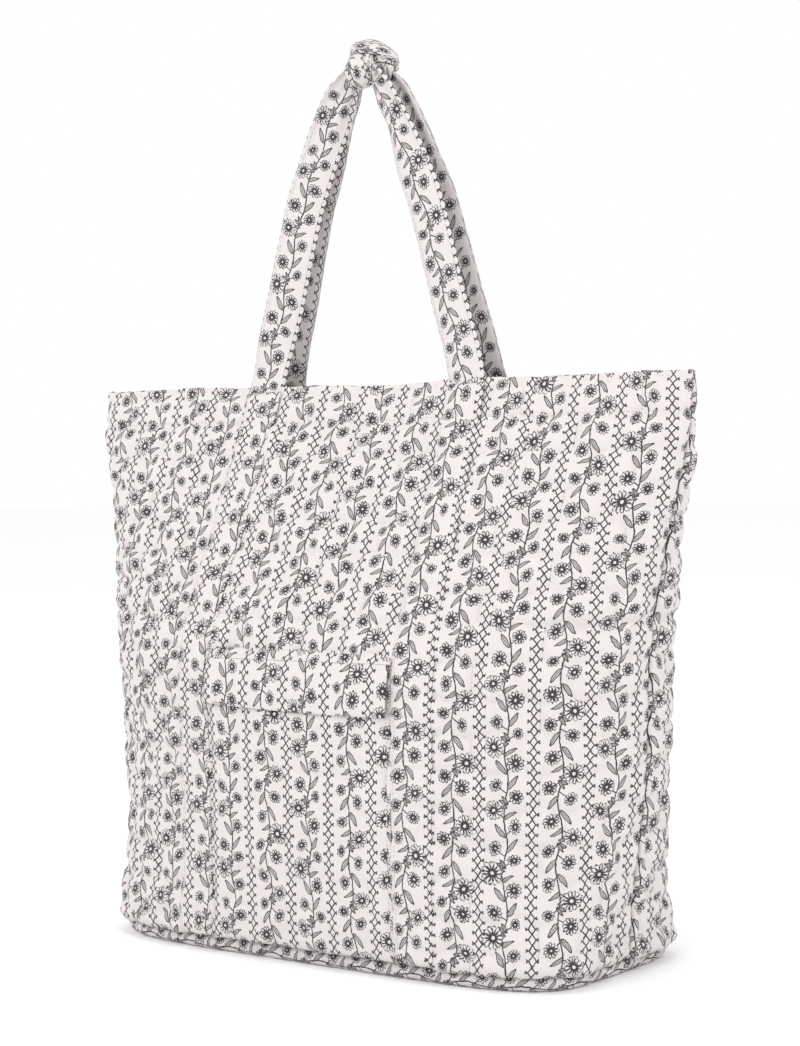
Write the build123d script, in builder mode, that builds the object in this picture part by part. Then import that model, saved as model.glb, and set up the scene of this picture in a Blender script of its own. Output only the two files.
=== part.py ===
from build123d import *
import os

# Soft quilted knitting bag, millimetres. +Z up, front faces -Y, origin under the middle of the base.

# --- driving dimensions ------------------------------------------------------------------
RIM_Z = 440.0            # height of the mouth
SEAM_Z = 14.0            # height of the seam between the base panel and the side panels
GAP = 0.3                # air kept between neighbouring layers and pieces

# Outer outline of the body: height, half width, half depth, corner radius.
OUTLINE = [
    (0.0, 228.0, 98.0, 58.0),
    (SEAM_Z, 234.0, 103.0, 60.0),
    (60.0, 236.0, 107.0, 74.0),
    (150.0, 246.0, 107.0, 84.0),
    (232.0, 250.0, 107.0, 80.0),
    (262.0, 254.0, 94.0, 76.0),
    (330.0, 269.0, 61.0, 50.0),
    (400.0, 288.0, 30.0, 25.0),
    (RIM_Z, 292.0, 14.0, 12.0),
]

SHELL = 1.2              # printed outer cloth
WADDING = 2.6            # quilt filling
LINING = 0.8             # inner cloth
FACING = 1.2             # hem facing inside the mouth
FACING_HEIGHT = 28.0

BAND_WIDTH = 34.0        # handle bands stitched down the panels
BAND_THICKNESS = 1.4
BAND_RIM_X = 101.0       # band centre at the mouth
BAND_LOW_X = 105.0       # band centre over the belly
BELLY_TOP_Z = 232.0
PANEL_SEAM_X = 103.0     # seams of the middle panels, hidden under the bands

POCKET_HALF_WIDTH = 87.0
POCKET_TOP_Z = 222.0
POCKET_BULGE = 6.3       # how far the pocket stands off the front panel
POCKET_CLOTH = 0.8
POCKET_LINING = 0.4
FLAP_TOP_Z = 231.4
FLAP_HEIGHT = 38.4
FLAP_STANDOFF = 6.6      # inner face of the flap above the front panel
FLAP_LINING = 0.4
FLAP_LINING_INSET = 1.0
FLAP_CLOTH = 1.0
FLAP_SEAM_Z = 233.4      # the flap is sewn to the front panel from here up
FLAP_SEAM_HEIGHT = 5.0

HANDLE_WIDTH = 34.0
HANDLE_THICKNESS = 3.0
HANDLE_END_X = 98.0      # centre of the short handle ends above the mouth
HANDLE_RIM_Y = 11.0      # front handle to middle of the bag, at the mouth
HANDLE_KNOT_Y = 3.2      # and where the handles enter the knot
HANDLE_END_TOP = 472.0   # top of the fixed handle ends
LEG_BOTTOM = 480.0       # lowest point of the swinging legs
LEG_TOP = 669.0
ARC_MIDDLE = (67.0, 556.0)   # x and z of the leg centre half way up
ARC_TOP = (22.0, 671.0)      # x and z of the leg centre at the knot
KNOT_BOTTOM = 670.0
KNOT_HEIGHT = 36.0
KNOT_WIDTH = 44.0
KNOT_DEPTH = 30.0
KNOT_X = 3.0             # the knot sits a little off the middle
KNOT_ROUND = 11.0
WRAP_HEIGHT = 13.0       # the pass that is wound around the outside of the knot
WRAP_THICKNESS = 3.0

REACH = 400.0            # half size of cutting boxes that reach past the whole bag


# --- helpers -----------------------------------------------------------------------------
def outline_at(height):
    """Half width, half depth and corner radius of the outline at a height."""
    for low, high in zip(OUTLINE, OUTLINE[1:]):
        if height <= high[0]:
            share = (height - low[0]) / (high[0] - low[0])
            return [a + share * (b - a) for a, b in zip(low[1:], high[1:])]
    return list(OUTLINE[-1][1:])


def body_loft(outset, bottom, top):
    """Solid of the body's outline, grown by outset, between two heights."""
    heights = [bottom] + [row[0] for row in OUTLINE if bottom < row[0] < top] + [top]
    with BuildPart() as solid:
        for height in heights:
            half_width, half_depth, radius = outline_at(height)
            with BuildSketch(Plane.XY.offset(height)):
                RectangleRounded(
                    2 * (half_width + outset), 2 * (half_depth + outset), radius + outset
                )
        loft(ruled=True)
    return solid.part


def layer(inner, outer, bottom, top):
    """Tube of cloth between two outsets of the outline."""
    with BuildPart() as tube:
        add(body_loft(outer, bottom, top))
        add(body_loft(inner, bottom, top), mode=Mode.SUBTRACT)
    return tube.part


def face_layer(side, inner, outer, bottom, top, left=-REACH, right=REACH):
    """Stretch of a layer on the front (side -1) or back (side +1), from X left to X right.
    At its widest it ends at the mid-side seams."""
    with BuildPart() as piece:
        add(layer(inner, outer, bottom, top))
        with BuildSketch(Plane.XY.offset(bottom)):
            with Locations(((left + right) / 2, side * (REACH + GAP) / 2)):
                Rectangle(right - left, REACH)
        extrude(amount=top - bottom, mode=Mode.INTERSECT)
    return piece.part


def face_patch(side, inner, outer, outline_points):
    """Piece of a layer seen through a flat outline drawn in X and Z, on one face of the bag."""
    heights = [point[1] for point in outline_points]
    with BuildPart() as patch:
        add(layer(inner, outer, min(heights), max(heights)))
        with BuildSketch(Plane.XZ) as window:
            with BuildLine():
                Polyline(*outline_points, close=True)
            make_face()
        extrude(window.sketch, amount=-side * REACH, mode=Mode.INTERSECT)
    return patch.part


def rectangle_points(half_width, bottom, top):
    return [(-half_width, bottom), (half_width, bottom), (half_width, top), (-half_width, top)]


os.makedirs("parts", exist_ok=True)


def save(part, node):
    part.label = node
    export_step(part, f"parts/{node}.step")


# --- base: a shallow tray with its own wadding and lining -----------------------------------
with BuildPart() as base_panel:
    add(body_loft(0, 0, SEAM_Z))
    add(body_loft(-SHELL, SHELL, SEAM_Z), mode=Mode.SUBTRACT)
save(base_panel.part, "base_panel")

with BuildPart() as base_wadding:
    add(body_loft(-SHELL - GAP, SHELL + GAP, SHELL + GAP + WADDING))
save(base_wadding.part, "base_wadding")

base_lining_z = SHELL + WADDING + 2 * GAP
with BuildPart() as base_lining:
    add(body_loft(-SHELL - GAP, base_lining_z, base_lining_z + LINING))
save(base_lining.part, "base_lining")

# --- front and back: a middle and two outer panels, wadding, lining and a facing at the mouth ---
wadding_out = -SHELL - GAP
lining_out = wadding_out - WADDING - GAP
facing_out = lining_out - LINING - GAP
panel_bottom = SEAM_Z + GAP

for side, name in ((-1, "front"), (1, "back")):
    for word, left, right in (
        ("left_", -REACH, -PANEL_SEAM_X),
        ("", -PANEL_SEAM_X + GAP, PANEL_SEAM_X - GAP),
        ("right_", PANEL_SEAM_X, REACH),
    ):
        save(face_layer(side, -SHELL, 0, panel_bottom, RIM_Z, left, right), f"{name}_{word}panel")
    save(
        face_layer(side, wadding_out - WADDING, wadding_out, panel_bottom, RIM_Z - SHELL),
        f"{name}_wadding",
    )
    save(
        face_layer(side, lining_out - LINING, lining_out, panel_bottom, RIM_Z - SHELL),
        f"{name}_lining",
    )
    save(
        face_layer(side, facing_out - FACING, facing_out, RIM_Z - FACING_HEIGHT, RIM_Z),
        f"rim_facing_{name}",
    )

# --- handle bands stitched from the mouth down to the base seam -------------------------------
for side, name in ((-1, "front"), (1, "back")):
    for hand, word in ((-1, "left"), (1, "right")):
        edges = [
            (hand * (centre + sign * BAND_WIDTH / 2), height)
            for sign in (-1, 1)
            for centre, height in (
                (BAND_RIM_X, RIM_Z),
                (BAND_LOW_X, BELLY_TOP_Z),
                (BAND_LOW_X, panel_bottom),
            )[::sign]
        ]
        save(face_patch(side, GAP, GAP + BAND_THICKNESS, edges), f"{name}_band_{word}")

# --- patch pocket: a pouch, open at the top, with its lining ------------------------------------
with BuildPart() as pocket_panel:
    add(face_patch(-1, GAP, POCKET_BULGE,
                    rectangle_points(POCKET_HALF_WIDTH, panel_bottom, POCKET_TOP_Z)))
    add(face_patch(-1, 0, POCKET_BULGE - POCKET_CLOTH,
                    rectangle_points(POCKET_HALF_WIDTH - POCKET_CLOTH,
                                     panel_bottom + POCKET_CLOTH, POCKET_TOP_Z)),
        mode=Mode.SUBTRACT)
save(pocket_panel.part, "pocket_panel")

lining_inset = POCKET_CLOTH + GAP
pocket_lining_out = POCKET_BULGE - lining_inset
save(
    face_patch(-1, pocket_lining_out - POCKET_LINING, pocket_lining_out,
                rectangle_points(POCKET_HALF_WIDTH - lining_inset,
                                 panel_bottom + lining_inset, POCKET_TOP_Z - GAP)),
    "pocket_lining",
)

# --- pocket flap, which hangs from a seam above the pocket mouth --------------------------------
save(
    face_patch(-1, GAP, FLAP_STANDOFF - GAP,
                rectangle_points(POCKET_HALF_WIDTH, FLAP_SEAM_Z, FLAP_SEAM_Z + FLAP_SEAM_HEIGHT)),
    "flap_seam",
)


def flap_layer(standoff, thickness, inset):
    """Flat cloth of the flap, in front of the pocket."""
    half_depth = outline_at(BELLY_TOP_Z)[1]
    with BuildPart() as cloth:
        with BuildSketch(Plane.XZ.offset(half_depth + standoff)):
            with Locations((0, FLAP_TOP_Z - FLAP_HEIGHT / 2)):
                Rectangle(2 * (POCKET_HALF_WIDTH - inset), FLAP_HEIGHT - 2 * inset)
        extrude(amount=thickness)
    return cloth.part


save(flap_layer(FLAP_STANDOFF, FLAP_LINING, FLAP_LINING_INSET), "pocket_flap_lining")
save(flap_layer(FLAP_STANDOFF + FLAP_LINING + GAP, FLAP_CLOTH, 0.0), "pocket_flap")

# --- handle ends: the short upright stretch next to the mouth, which stays with the bag -----------
for side, name in ((-1, "front"), (1, "back")):
    for hand, word in ((-1, "left"), (1, "right")):
        with BuildPart() as handle_end:
            with BuildSketch(Plane.XY.offset(RIM_Z + GAP)):
                with Locations((hand * HANDLE_END_X, side * HANDLE_RIM_Y)):
                    Rectangle(HANDLE_WIDTH, HANDLE_THICKNESS)
            extrude(amount=HANDLE_END_TOP - RIM_Z - GAP)
        save(handle_end.part, f"{name}_handle_end_{word}")

# --- handle legs: each follows a long arc from the mouth to the knot --------------------------------
# Their cloth lies in a plane that leans towards the middle of the bag.
for side, name in ((-1, "front"), (1, "back")):
    leaning = Plane(
        origin=(0, side * HANDLE_RIM_Y, RIM_Z),
        x_dir=(1, 0, 0),
        z_dir=(0, -(KNOT_BOTTOM - RIM_Z), side * (HANDLE_KNOT_Y - HANDLE_RIM_Y)),
    )
    for hand, word in ((-1, "left"), (1, "right")):
        with BuildPart() as leg:
            with BuildSketch(leaning):
                with BuildLine():
                    ThreePointArc(
                        (hand * BAND_RIM_X, 0),
                        (hand * ARC_MIDDLE[0], ARC_MIDDLE[1] - RIM_Z),
                        (hand * ARC_TOP[0], ARC_TOP[1] - RIM_Z),
                    )
                    offset(amount=HANDLE_WIDTH / 2, side=Side.BOTH)
                make_face()
            extrude(amount=HANDLE_THICKNESS / 2, both=True)
            with BuildSketch(Plane.XY.offset(LEG_BOTTOM)):
                with Locations((hand * REACH / 2, 0)):
                    Rectangle(REACH - 2 * GAP, REACH)
            extrude(amount=LEG_TOP - LEG_BOTTOM, mode=Mode.INTERSECT)
        save(leg.part, f"{name}_handle_{word}")

# --- knot that ties the two handles together ----------------------------------------------------
with BuildPart() as handle_knot:
    with BuildSketch(Plane.XY.offset(KNOT_BOTTOM)):
        with Locations((KNOT_X, 0)):
            Rectangle(KNOT_WIDTH, KNOT_DEPTH)
    extrude(amount=KNOT_HEIGHT)
    fillet(handle_knot.edges(), radius=KNOT_ROUND)
save(handle_knot.part, "handle_knot")

knot_middle = KNOT_BOTTOM + KNOT_HEIGHT / 2
with BuildPart() as knot_wrap:
    with BuildSketch(Plane.XY.offset(knot_middle - WRAP_HEIGHT / 2)):
        with Locations((KNOT_X, 0)):
            RectangleRounded(KNOT_WIDTH + 2 * (GAP + WRAP_THICKNESS),
                             KNOT_DEPTH + 2 * (GAP + WRAP_THICKNESS), KNOT_ROUND + WRAP_THICKNESS)
            RectangleRounded(KNOT_WIDTH + 2 * GAP, KNOT_DEPTH + 2 * GAP, KNOT_ROUND,
                             mode=Mode.SUBTRACT)
    extrude(amount=WRAP_HEIGHT)
save(knot_wrap.part, "knot_wrap")
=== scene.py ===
import math

import bpy
import numpy as np
from mathutils import Matrix, Vector


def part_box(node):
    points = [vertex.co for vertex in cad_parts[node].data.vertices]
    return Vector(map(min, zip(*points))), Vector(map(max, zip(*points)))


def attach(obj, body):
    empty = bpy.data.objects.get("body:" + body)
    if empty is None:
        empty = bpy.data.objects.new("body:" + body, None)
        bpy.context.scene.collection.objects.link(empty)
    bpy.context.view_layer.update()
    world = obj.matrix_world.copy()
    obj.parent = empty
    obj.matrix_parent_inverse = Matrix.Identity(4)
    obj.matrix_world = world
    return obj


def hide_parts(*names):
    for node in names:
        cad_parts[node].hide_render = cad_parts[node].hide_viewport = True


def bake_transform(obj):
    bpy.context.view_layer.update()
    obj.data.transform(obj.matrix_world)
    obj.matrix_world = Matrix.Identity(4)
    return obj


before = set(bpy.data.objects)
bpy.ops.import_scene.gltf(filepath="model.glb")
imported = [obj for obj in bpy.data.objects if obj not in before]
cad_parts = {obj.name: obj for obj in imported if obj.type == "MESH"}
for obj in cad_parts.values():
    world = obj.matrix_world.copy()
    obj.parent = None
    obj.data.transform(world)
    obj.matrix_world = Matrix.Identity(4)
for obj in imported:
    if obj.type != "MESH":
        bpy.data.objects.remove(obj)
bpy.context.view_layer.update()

# Lengths below are millimetres; meshes are written in metres.
MM = 0.001


def node_box(node):
    """Lowest and highest corners of a CAD node, in millimetres."""
    low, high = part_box(node)
    return np.array(low) / MM, np.array(high) / MM


# --- sizes ---
SEAM_Z = node_box("front_panel")[0][2]
RIM_Z = node_box("front_panel")[1][2]
KNOT_LOW, KNOT_HIGH = node_box("handle_knot")
FLAP_LOW, FLAP_HIGH = node_box("pocket_flap")
POCKET_LOW, POCKET_HIGH = node_box("pocket_panel")
POCKET_HALF = (POCKET_HIGH[0] - POCKET_LOW[0]) / 2 + 1.6
POCKET_TOP = POCKET_HIGH[2]
FLAP_HALF = (FLAP_HIGH[0] - FLAP_LOW[0]) / 2 + 0.4
FLAP_BOTTOM, FLAP_TOP = FLAP_LOW[2], FLAP_HIGH[2]

# Body outline: height, half width, half depth, squareness of the rounded section.
STATIONS = np.array([
    (0.0, 217.0, 97.0, 5.2),
    (SEAM_Z, 224.0, 102.0, 5.0),
    (60.0, 231.5, 105.5, 3.5),
    (150.0, 245.0, 106.5, 2.6),
    (232.0, 250.0, 103.0, 2.7),
    (262.0, 254.0, 92.5, 2.8),
    (330.0, 269.0, 61.0, 3.0),
    (400.0, 287.0, 30.0, 3.1),
    (RIM_Z, 291.0, 14.0, 3.1),
])
GIRTH = 1184.0               # cloth all the way round
CLOTH = 0.9                  # thickness of one layer of cloth
QUILT_CELL = 34.0            # width of one quilted cell
QUILT_ROW = 26.5             # height of one quilted cell
QUILT_WAVE = 2.4             # swing of a row of stitching up and down
QUILT_RISE = 4.0             # how far the middle of a cell swells
QUILT_SINK = 1.6             # how far the stitching pulls in
QUILT_REACH = 3.8            # how far from the stitching the cloth has mostly risen
HEM = 27.0                   # depth of the turned hem at the mouth
BAND_HALF = 17.0             # half width of the handle bands and straps
PRINT_WIDTH = 39.5           # one column of the print, lattice to lattice
PRINT_HEIGHT = 45.5          # one repeat up the vine
LINE = 0.50                  # half width of a printed line

FACES = {"front": 0.0, "back": GIRTH / 2}    # girth coordinate of each face's middle
HANDS = {"left": -1, "right": 1}             # side of each face


# --- small numeric helpers ---
def smooth_through(x, xs, ys):
    """Cubic curve through the points (xs, ys)."""
    x = np.asarray(x, float)
    slopes = np.gradient(ys, xs)
    i = np.clip(np.searchsorted(xs, x) - 1, 0, len(xs) - 2)
    step = xs[i + 1] - xs[i]
    t = np.clip((x - xs[i]) / step, 0, 1)
    return (
        (2 * t**3 - 3 * t**2 + 1) * ys[i]
        + (t**3 - 2 * t**2 + t) * step * slopes[i]
        + (3 * t**2 - 2 * t**3) * ys[i + 1]
        + (t**3 - t**2) * step * slopes[i + 1]
    )


def ease(x, low, high):
    """0 below low, 1 above high, smooth between."""
    t = np.clip((np.asarray(x, float) - low) / (high - low), 0, 1)
    return t * t * (3 - 2 * t)


def bump_at(x, middle, width):
    """1 at the middle, falling away on both sides."""
    return np.exp(-(((np.asarray(x, float) - middle) / width) ** 2))


def ripple(u, v, size, seed, waves=9):
    """Smooth uneven field between about -1 and 1, with features of a given size."""
    rng = np.random.default_rng(seed)
    total = 0
    for _ in range(waves):
        turn = rng.uniform(0, math.pi)
        pitch = size * rng.uniform(0.7, 1.6)
        phase = rng.uniform(0, 2 * math.pi)
        total = total + np.sin((u * math.cos(turn) + v * math.sin(turn)) * 2 * math.pi / pitch + phase)
    return total / math.sqrt(waves)


def normalized(vectors):
    return vectors / np.maximum(np.linalg.norm(vectors, axis=-1, keepdims=True), 1e-9)


def run_length(points):
    """Distance along a line of points, at each of them."""
    return np.r_[0, np.cumsum(np.linalg.norm(np.diff(points, axis=0), axis=1))]


def spread(count, power):
    """Numbers from -1 to 1, closer together near the ends when power is under 1."""
    w = np.linspace(-1, 1, count)
    return np.sign(w) * np.abs(w) ** power


# --- the body surface ---
RING_ANGLE = np.linspace(-math.pi / 2, 3 * math.pi / 2, 1441)


def ring(height, outset=0.0):
    """Section outline at a height: points from the middle of the front round to it again."""
    half_width, half_depth, square = (
        smooth_through(height, STATIONS[:, 0], STATIONS[:, k]) for k in (1, 2, 3)
    )
    c, s = np.cos(RING_ANGLE), np.sin(RING_ANGLE)
    x = (half_width + outset) * np.sign(c) * np.abs(c) ** (2 / square)
    y = (half_depth + outset) * np.sign(s) * np.abs(s) ** (2 / square)
    return np.stack([x, y], axis=1)


def base_point(u, height, outset=0.0):
    """Points of the plain body at girth coordinate u (mm from the middle of the front)."""
    u = np.asarray(u, float)
    height = np.broadcast_to(np.asarray(height, float), u.shape)
    out = np.empty(u.shape + (3,))
    for z in np.unique(height):
        rows = height == z
        outline = ring(z, outset)
        length = run_length(outline)
        along = np.mod(u[rows] / GIRTH, 1.0) * length[-1]
        for k in (0, 1):
            out[rows, k] = np.interp(along, length, outline[:, k])
    out[..., 2] = height
    return out


class Skin:
    """Table of the body surface, so that anything sewn on can be placed by u and height."""

    def __init__(self):
        self.u = np.linspace(-GIRTH / 2, GIRTH / 2, 593)
        self.z = np.linspace(0, RIM_Z, 177)
        self.point = base_point(*np.meshgrid(self.u, self.z))
        du = np.gradient(self.point, axis=1)
        dz = np.gradient(self.point, axis=0)
        du[:, 0] = du[:, -1] = (du[:, 0] + du[:, -1]) / 2
        self.normal = normalized(np.cross(du, dz))
        rise = np.linalg.norm(np.diff(self.point, axis=0), axis=2).mean(axis=1)
        self.cloth_height = np.r_[0, np.cumsum(rise)]

    def up(self, z):
        """Distance up the cloth at a height."""
        return np.interp(z, self.z, self.cloth_height)

    def height(self, v):
        """Height at a distance up the cloth."""
        return np.interp(v, self.cloth_height, self.z)

    def _look(self, table, u, z):
        u = np.mod(np.asarray(u, float) + GIRTH / 2, GIRTH) / GIRTH * (len(self.u) - 1)
        z = np.clip(np.asarray(z, float) / RIM_Z, 0, 1) * (len(self.z) - 1)
        i = np.clip(u.astype(int), 0, len(self.u) - 2)
        j = np.clip(z.astype(int), 0, len(self.z) - 2)
        a, b = (u - i)[..., None], (z - j)[..., None]
        return (
            table[j, i] * (1 - a) * (1 - b) + table[j, i + 1] * a * (1 - b)
            + table[j + 1, i] * (1 - a) * b + table[j + 1, i + 1] * a * b
        )

    def direction(self, u, z):
        """Unit vectors straight out of the surface."""
        return normalized(self._look(self.normal, u, z))

    def at(self, u, z, lift=0.0):
        """Points that stand off the surface by lift."""
        u, z = np.broadcast_arrays(np.asarray(u, float), np.asarray(z, float))
        return self._look(self.point, u, z) + self.direction(u, z) * np.asarray(lift)[..., None]


skin = Skin()


def quilt_line(u, row):
    """Distance up the cloth of a wavy row of stitching."""
    return row * QUILT_ROW - QUILT_WAVE * np.cos(2 * math.pi * (u / QUILT_CELL - row / 2))


def quilt(u, v):
    """Swelling of the quilting: 0 on the stitching, near 1 in the middle of a cell."""
    row = np.floor(v / QUILT_ROW)
    row = row - (v < quilt_line(u, row)) + (v > quilt_line(u, row + 1))
    beside = np.abs((u / QUILT_CELL - row / 2) % 1.0 - 0.5) * QUILT_CELL
    swell = 1.0
    for distance in (v - quilt_line(u, row), quilt_line(u, row + 1) - v, beside):
        swell = swell * (1 - np.exp(-np.maximum(distance, 0) / QUILT_REACH))
    return swell


def crease(u, z):
    """Soft folds pressed into the cloth, in millimetres, negative inwards."""
    right = bump_at(z, 262 + 0.02 * (u - 250), 4.5) * ease(u, 150, 215) * -2.6
    left = bump_at(z, 226, 5.0) * ease(-u, 215, 262) * -3.0
    low = bump_at(z, 46 - 0.03 * (u - 150), 4.0) * ease(u, 95, 150) * ease(250 - u, 0, 60) * -1.4
    hem = bump_at(z, RIM_Z - HEM, 2.2) * -1.1
    return right + left + low + hem


def face_offset(u):
    """Girth distance from the middle of the nearer face, front or back."""
    return (u + GIRTH / 4) % (GIRTH / 2) - GIRTH / 4


def band_centre(z):
    """Girth coordinate of the middle of a handle band."""
    return 101.0 + 5.0 * ease(RIM_Z - np.asarray(z, float), 0, 200)


def covered(u, z):
    """1 where a band or the pocket lies over the panel, 0 in the open."""
    across = np.abs(face_offset(u))
    under_band = ease(BAND_HALF - np.abs(across - band_centre(z)), 1.5, 5.0)
    front = np.abs((u + GIRTH / 2) % GIRTH - GIRTH / 2) < GIRTH / 4
    under_pocket = ease(POCKET_HALF - across, 1.0, 6.0) * ease(POCKET_TOP + 8 - z, 0, 10) * front
    return np.maximum(under_band, under_pocket)


def foot_swell(u, z):
    """The cloth bulges a little over the base seam, and not evenly."""
    return (3.2 + 0.7 * ripple(u, 0 * np.asarray(z), 60, 14)) * bump_at(z, SEAM_Z + 3.5, 7.5)


def free_lift(u, z):
    """How far the quilted outer cloth stands off the plain body."""
    v = skin.up(z)
    from_seam = GIRTH / 4 - np.abs(face_offset(u))
    swell = quilt(u, v) * (1 - np.exp(-from_seam / QUILT_REACH))
    crumple = 0.45 * ripple(u, v, 9, 1) * (0.3 + 0.7 * swell)
    slack = 0.9 * ripple(u, v, 70, 2) * ease(from_seam, 0, 12)
    hem = 1 - 0.45 * ease(z, RIM_Z - HEM, RIM_Z - HEM + 6)
    low = 1 - 0.3 * ease(SEAM_Z + 22 - z, 0, 22)
    side_seam = bump_at(from_seam, 0, 2.2) * -1.6
    return (QUILT_RISE * swell - QUILT_SINK) * hem * low + crumple + slack + side_seam


def quilted_lift(u, z):
    """The same, pressed flat where a band or the pocket lies over it."""
    cover = covered(u, z)
    return free_lift(u, z) * (1 - cover) - 1.2 * cover + crease(u, z) + foot_swell(u, z)


def rim_drop(u, z):
    """The mouth sags a little between the handles and lifts at its ends."""
    x = face_offset(u)
    sag = 2.6 * np.exp(-((x / 75) ** 2)) + 0.8 * np.sin(x / 23.0)
    return -sag * ease(z, RIM_Z - 70, RIM_Z)


# --- mesh helpers ---
def mesh_object(name, points, faces, uv, material):
    """Object from points in millimetres, faces as vertex indices, and one uv for each vertex."""
    mesh = bpy.data.meshes.new(name)
    mesh.from_pydata((np.asarray(points) * MM).tolist(), [], [list(map(int, f)) for f in faces])
    mesh.polygons.foreach_set("use_smooth", [True] * len(mesh.polygons))
    if uv is not None:
        layer = mesh.uv_layers.new(name="cloth")
        corner = np.empty(len(mesh.loops), dtype=np.int64)
        mesh.loops.foreach_get("vertex_index", corner)
        layer.data.foreach_set("uv", (np.asarray(uv) * MM)[corner].astype(np.float32).ravel())
    mesh.validate()
    mesh.update()
    mesh.materials.append(material)
    obj = bpy.data.objects.new(name, mesh)
    bpy.context.scene.collection.objects.link(obj)
    return obj


def uv_rows(cloth):
    """One uv row for each point of a grid, from its pair of u and v."""
    return np.stack(cloth, axis=-1).reshape(-1, 2)


def grid_faces(rows, columns, start=0, flip=False, closed=False):
    """Quads of a grid of points stored row by row."""
    j, i = np.meshgrid(np.arange(rows - 1), np.arange(columns if closed else columns - 1), indexing="ij")
    k = (i + 1) % columns
    a, b = j * columns + i, j * columns + k
    c, d = (j + 1) * columns + k, (j + 1) * columns + i
    order = (a, d, c, b) if flip else (a, b, c, d)
    return np.stack([x.ravel() for x in order], axis=1) + start


def tube_faces(rows, around):
    """Faces of a closed tube of rings, with a cap at both ends."""
    first = list(range(around))
    last = [(rows - 1) * around + i for i in first]
    return [list(f) for f in grid_faces(rows, around, closed=True)] + [first[::-1], last]


def shell_object(name, outer, inner, cloth, material):
    """Closed sheet of cloth between two grids of points with the same shape."""
    rows, columns = outer.shape[:2]
    points = np.concatenate([outer.reshape(-1, 3), inner.reshape(-1, 3)])
    count = rows * columns
    edge = np.concatenate([
        np.arange(columns),
        np.arange(1, rows) * columns + columns - 1,
        (rows - 1) * columns + np.arange(columns - 2, -1, -1),
        np.arange(rows - 2, 0, -1) * columns,
    ])
    after = np.roll(edge, -1)
    faces = np.concatenate([
        grid_faces(rows, columns),
        grid_faces(rows, columns, count, flip=True),
        np.stack([after, edge, edge + count, after + count], axis=1),
    ])
    return mesh_object(name, points, faces, np.tile(uv_rows(cloth), (2, 1)), material)


def sewn_layer(name, u, z, outside, inside, cloth, material, drop=0.0):
    """Closed sheet of cloth between two lifts off the body, moved down or up by drop."""
    grids = [skin.at(u, z, lift) for lift in (outside, inside)]
    for grid in grids:
        grid[..., 2] += drop
    return shell_object(name, *grids, cloth, material)


def tube_object(name, rings, cloth, material):
    """Closed tube through rings of points (rows, around, 3), capped at both ends."""
    return mesh_object(name, rings.reshape(-1, 3), tube_faces(*rings.shape[:2]), uv_rows(cloth), material)


def stitches(name, starts, ends, normals, radius):
    """Short lengths of thread as one mesh: a low rounded bar for each stitch."""
    sides = 6
    along = normalized(ends - starts)
    side = normalized(np.cross(along, normals))
    up = np.cross(side, along)
    turn = np.arange(sides) * 2 * math.pi / sides
    around = side[:, None] * np.cos(turn)[None, :, None] + up[:, None] * np.sin(turn)[None, :, None]
    rings = []
    for place, size, sink in ((0.0, 0.35, -0.5), (0.18, 1.0, 0.0), (0.82, 1.0, 0.0), (1.0, 0.35, -0.5)):
        centre = starts + (ends - starts) * place + up * radius * sink
        rings.append(centre[:, None] + around * radius * size)
    points = np.stack(rings, axis=1).reshape(-1, 3)
    one = tube_faces(len(rings), sides)
    step = len(rings) * sides
    faces = [[v + k * step for v in f] for k in range(len(starts)) for f in one]
    return mesh_object(name, points, faces, np.zeros((len(points), 2)), THREAD)


def dashes(path, normal, stitch=2.5, gap=1.1, shown=None):
    """Cut a line of points into stitches: starts, ends and normals, only where shown is true."""
    length = run_length(path)
    at = np.arange(0.5, length[-1] - stitch, stitch + gap)
    if shown is not None:
        at = at[np.interp(at, length, shown) > 0.5]

    def look(values, s):
        return np.stack([np.interp(s, length, values[:, k]) for k in range(3)], axis=1)

    return look(path, at), look(path, at + stitch), look(normal, at + stitch / 2)


# --- node formulas ---
def feed(tree, slot, value):
    """Set a node's input to a number or a colour, or link it to a Num or a socket."""
    value = getattr(value, "socket", value)
    if isinstance(value, bpy.types.NodeSocket):
        tree.links.new(value, slot)
    else:
        slot.default_value = value


def add_node(tree, kind, *values, **settings):
    """Node with its properties set and its first inputs fed."""
    node = tree.nodes.new(kind)
    for name, value in settings.items():
        setattr(node, name, value)
    for slot, value in zip(node.inputs, values):
        feed(tree, slot, value)
    return node


class Num:
    """A number in a node tree, so that a pattern can be written as a formula."""

    def __init__(self, tree, socket):
        self.tree, self.socket = tree, socket

    def op(self, name, *others, clamp=False):
        node = add_node(self.tree, "ShaderNodeMath", self, *others, operation=name, use_clamp=clamp)
        return Num(self.tree, node.outputs[0])

    def __rsub__(self, other):
        return self * -1.0 + other

    def clamped(self):
        return self.op("MULTIPLY", 1.0, clamp=True)

    def wrapped(self, size):
        return self.op("WRAP", size / 2, -size / 2)

    def below(self, limit, soft=0.14):
        """1 where this is under limit, 0 where it is over, with a soft edge."""
        return (limit - self).op("MULTIPLY_ADD", 1 / soft, 0.5, clamp=True)


for method, operation in {
    "__add__": "ADD", "__radd__": "ADD", "__sub__": "SUBTRACT", "__mul__": "MULTIPLY",
    "__rmul__": "MULTIPLY", "__truediv__": "DIVIDE", "abs": "ABSOLUTE", "sin": "SINE", "cos": "COSINE",
    "power": "POWER", "root": "SQRT", "floor": "FLOOR", "fract": "FRACT", "most": "MAXIMUM",
    "least": "MINIMUM",
}.items():
    setattr(Num, method, lambda self, *others, kind=operation: self.op(kind, *others))


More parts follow.
